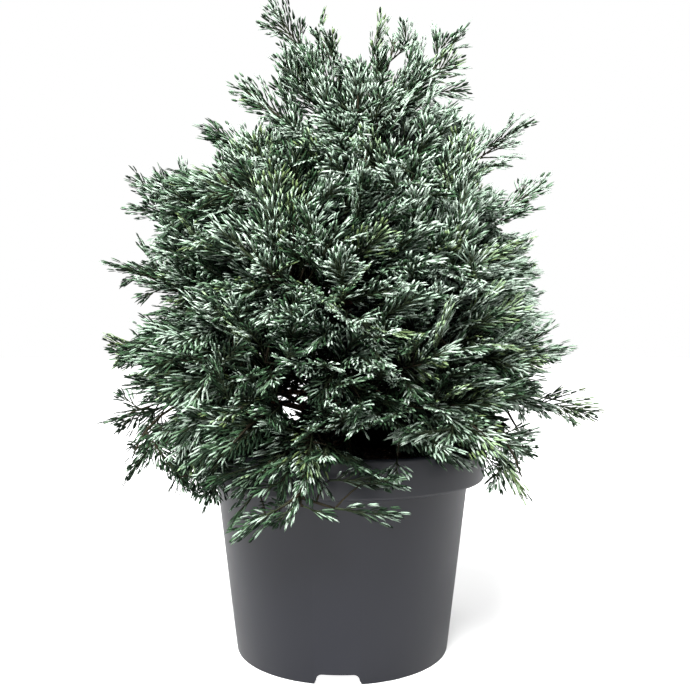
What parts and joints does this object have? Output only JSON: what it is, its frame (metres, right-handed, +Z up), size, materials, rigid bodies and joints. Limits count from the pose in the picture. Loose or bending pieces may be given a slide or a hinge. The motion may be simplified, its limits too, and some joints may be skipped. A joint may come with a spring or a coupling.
{
  "type": "potted false cypress",
  "caption": "Young blue-green false cypress shrub with feathery needle sprays and upright leaders, growing in a round nursery pot with a stepped collar.",
  "frame": {"origin": "centre of the pot's flat underside, on the ground that the plant stands on", "axes": "+Z up along the trunk, -Y towards the plant's front, +X towards the front's right-hand side"},
  "size_m": [0.3371, 0.2834, 0.4281],
  "materials": {
    "grey_plastic": "dark grey moulded polypropylene, soft sheen",
    "compost": "dark brown crumbly peat and bark compost, fully matt",
    "bark": "brown young bark with shallow furrows, matt",
    "needles": "blue-green needles with a pale silvery bloom, matt"
  },
  "bodies": {
    "root": {"bough_low_1": "bark", "bough_low_2": "bark", "bough_low_3": "bark", "bough_low_4": "bark", "bough_low_5": "bark", "bough_low_6": "bark", "bough_skirt_1": "bark", "bough_skirt_2": "bark", "bough_skirt_3": "bark", "bough_skirt_4": "bark", "bough_skirt_5": "bark", "bough_skirt_6": "bark", "compost": "compost", "foliage_high_1": "needles", "foliage_high_2": "needles", "foliage_high_3": "needles", "foliage_high_4": "needles", "foliage_leader_back": "needles", "foliage_leader_front": "needles", "foliage_leader_left": "needles", "foliage_leader_middle": "needles", "foliage_leader_right": "needles", "foliage_leader_side": "needles", "foliage_low_1": "needles", "foliage_low_2": "needles", "foliage_low_3": "needles", "foliage_low_4": "needles", "foliage_low_5": "needles", "foliage_low_6": "needles", "foliage_mid_1": "needles", "foliage_mid_2": "needles", "foliage_mid_3": "needles", "foliage_mid_4": "needles", "foliage_mid_5": "needles", "foliage_mid_6": "needles", "foliage_shoulder_1": "needles", "foliage_shoulder_2": "needles", "foliage_shoulder_3": "needles", "foliage_shoulder_4": "needles", "foliage_shoulder_5": "needles", "foliage_shoulder_6": "needles", "foliage_skirt_1": "needles", "foliage_skirt_2": "needles", "foliage_skirt_3": "needles", "foliage_skirt_4": "needles", "foliage_skirt_5": "needles", "foliage_skirt_6": "needles", "foliage_upper_1": "needles", "foliage_upper_2": "needles", "foliage_upper_3": "needles", "foliage_upper_4": "needles", "foliage_upper_5": "needles", "foliage_upper_6": "needles", "pot": "grey_plastic", "trunk": "bark"}
  },
  "joints": []
}
